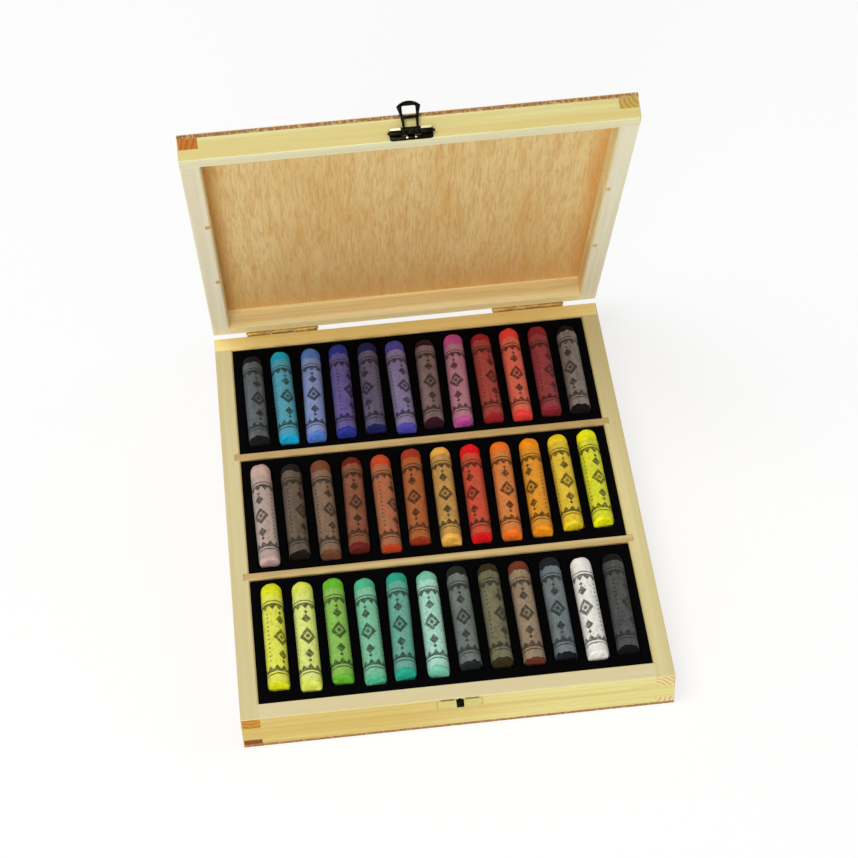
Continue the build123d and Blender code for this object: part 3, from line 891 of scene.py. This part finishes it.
def paperMaterial(name, seed):
    # tinted paper, stained by its chalk, printed and rubbed, with painted shade on its lower sides
    material, tree = newTree(name + " paper")
    source = add(tree, "TexCoord")
    place = source.outputs["Object"]
    sheetPlace = add(tree, "SeparateXYZ", {0: source.outputs["UV"]}).outputs
    marks = printedMarks(tree, sheetPlace["X"], sheetPlace["Y"])
    rubbed = cloud(tree, place, 700, detail=4, roughness=0.6, seed=seed)
    ink = product(tree, marks, ramp(tree, rubbed, (0.3, 0.55), (0.56, 1)), decoration["ink"])

    body, base = colour(pastels[name][0]), colour(pastels[name][1])
    shade = base
    for scale, detail, roughness, shift, start, end, share, tint in (
        ((260, 90, 260), 4, 0.6, 1, 0.42, 0.66, 0.4, body),  # stains
        ((900, 560, 900), 5, 0.7, 0, 0.42, 0.68, 0.5, tinted(base, 1.2, 0.03)),  # fibres
        ((620, 380, 620), 4, 0.65, 6, 0.48, 0.66, 0.45, tinted(base, 0.5)),  # smudges
    ):
        pattern = cloud(tree, place, 1, scale, detail, roughness, seed + shift)
        amount = product(tree, ramp(tree, pattern, (start, 0), (end, 1)), share)
        shade = blend(tree, amount, shade, tint)
    # painted shade: each paper is darker below its stick's axis, fading out a little above it
    low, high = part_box("pastel_" + name)
    axis = (low.z + high.z) / 2
    level = add(tree, "SeparateXYZ", {0: place}).outputs["Z"]
    amount = add(tree, "MapRange", {
        0: level, 1: axis, 2: axis + sideShade["reach"] * mm, 3: sideShade["share"], 4: 0.0,
    }).outputs[0]
    shade = blend(tree, amount, shade, tinted(base, sideShade["tint"]))
    shade = blend(tree, ink, shade, tinted(base, 0.07, 0.003))
    wrinkles = cloud(tree, place, 1, (700, 260, 700), 4, seed=seed)
    dull = {"Base Color": shade, "Roughness": 0.6, "Specular IOR Level": 0.25}
    finishTree(tree, dull, wrinkles, 0.16 * mm, 0.8)
    return material


stickPlaces = {}


def layPastels():
    stickPattern, sheetPattern = chalkStick(), paperSheet()
    for seed, (name, look) in enumerate(pastels.items()):
        length, back = look[2:]
        pick = random.Random(seed + layingOut["firstSeed"])
        low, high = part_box("pastel_" + name)
        middle = (low + high) / 2 + Vector((0, back * mm, -layingOut["sink"] * mm * pick.random()))
        lie = Matrix.Translation(middle)
        lie = lie @ Matrix.Rotation(radians(pick.uniform(-1, 1) * layingOut["yaw"]), 4, "Z")
        lie = lie @ Matrix.Rotation(radians(pick.uniform(-1, 1) * layingOut["pitch"]), 4, "X")

        stick = copyTo(stickPattern, Matrix())
        worn(stick, length, pick)
        roll = pick.uniform(-layingOut["stickRoll"], layingOut["stickRoll"])
        stick.data.transform(lie @ Matrix.Rotation(roll, 4, "Y"))
        take(stick)
        bpy.ops.object.shade_smooth_by_angle(angle=radians(38))
        settle(stick, "chalk_" + name, "base", chalkMaterial(name), ["pastel_" + name])

        sheet = copyTo(sheetPattern, Matrix())
        wrinkled(sheet, pick)
        slip = pick.uniform(-layingOut["paperSlip"], layingOut["paperSlip"])
        roll = pick.uniform(-layingOut["paperRoll"], layingOut["paperRoll"])
        along = Matrix.Translation((0, (slip - paper["forward"]) * mm, 0))
        sheet.data.transform(lie @ along @ Matrix.Rotation(roll, 4, "Y"))
        take(sheet)
        thick = sheet.modifiers.new("gauge", "SOLIDIFY")
        thick.thickness = paper["gauge"] * mm
        thick.offset = 1
        applyModifiers(sheet)
        bpy.ops.object.shade_smooth_by_angle(angle=radians(50))
        settle(sheet, "paper_" + name, "base", paperMaterial(name, seed), ["paper_wrappers"])
        stickPlaces[name] = (middle, length)
    bpy.data.objects.remove(stickPattern)
    bpy.data.objects.remove(sheetPattern)


layPastels()
print("the pastels are laid out")


# foam: one block a compartment, with a pocket pressed in for each stick

foam = {"edge": 0.9, "lip": 0.55, "pocketRadius": 6.6, "endRoom": 1.2, "colour": "#050507", "fleck": "#17171A"}


def foamMaterial():
    material, tree = newTree("black foam")
    place = add(tree, "TexCoord").outputs["Object"]
    cells = add(tree, "TexVoronoi", {"Vector": place, "Scale": 1500})
    cells = ramp(tree, cells.outputs["Distance"], (0.1, 0), (0.55, 1))
    lint = ramp(tree, cloud(tree, place, 700, detail=5, roughness=0.7), (0.62, 0), (0.8, 1))
    shade = blend(tree, product(tree, cells, 0.25), colour(foam["colour"]), colour("#000000"))
    shade = blend(tree, product(tree, lint, 0.3), shade, colour(foam["fleck"]))
    porous = {"Base Color": shade, "Roughness": 0.95, "Specular IOR Level": 0.03}
    finishTree(tree, porous, cells, 0.3 * mm, 0.6)
    return material


def foamBlock(node, material):
    low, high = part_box(node)
    bpy.ops.mesh.primitive_cube_add(size=1, location=(low + high) / 2, scale=high - low)
    block = bpy.context.object
    bakePlace(block)
    ease = block.modifiers.new("edge", "BEVEL")
    ease.width = foam["edge"] * mm
    ease.segments = 3
    applyModifiers(block)
    for middle, length in stickPlaces.values():
        if not low.y < middle.y < high.y:
            continue
        bpy.ops.object.select_all(action="DESELECT")
        bpy.ops.mesh.primitive_cylinder_add(
            vertices=40, radius=foam["pocketRadius"] * mm, depth=(length + 2 * foam["endRoom"]) * mm,
            rotation=(pi / 2, 0, 0), location=middle,
        )
        cutter = bpy.context.object
        cut = block.modifiers.new("pocket", "BOOLEAN")
        cut.operation = "DIFFERENCE"
        cut.object = cutter
        take(block)
        applyModifiers(block)
        bpy.data.objects.remove(cutter)
    lip = block.modifiers.new("lip", "BEVEL")
    lip.width = foam["lip"] * mm
    lip.segments = 3
    lip.limit_method = "ANGLE"
    lip.angle_limit = radians(50)
    applyModifiers(block)
    bpy.ops.object.shade_smooth_by_angle(angle=radians(40))
    settle(block, node + "_block", "base", material, [node])


blackFoam = foamMaterial()
for row in ("front", "middle", "rear"):
    foamBlock(row + "_foam", blackFoam)
print("the foam is cut")
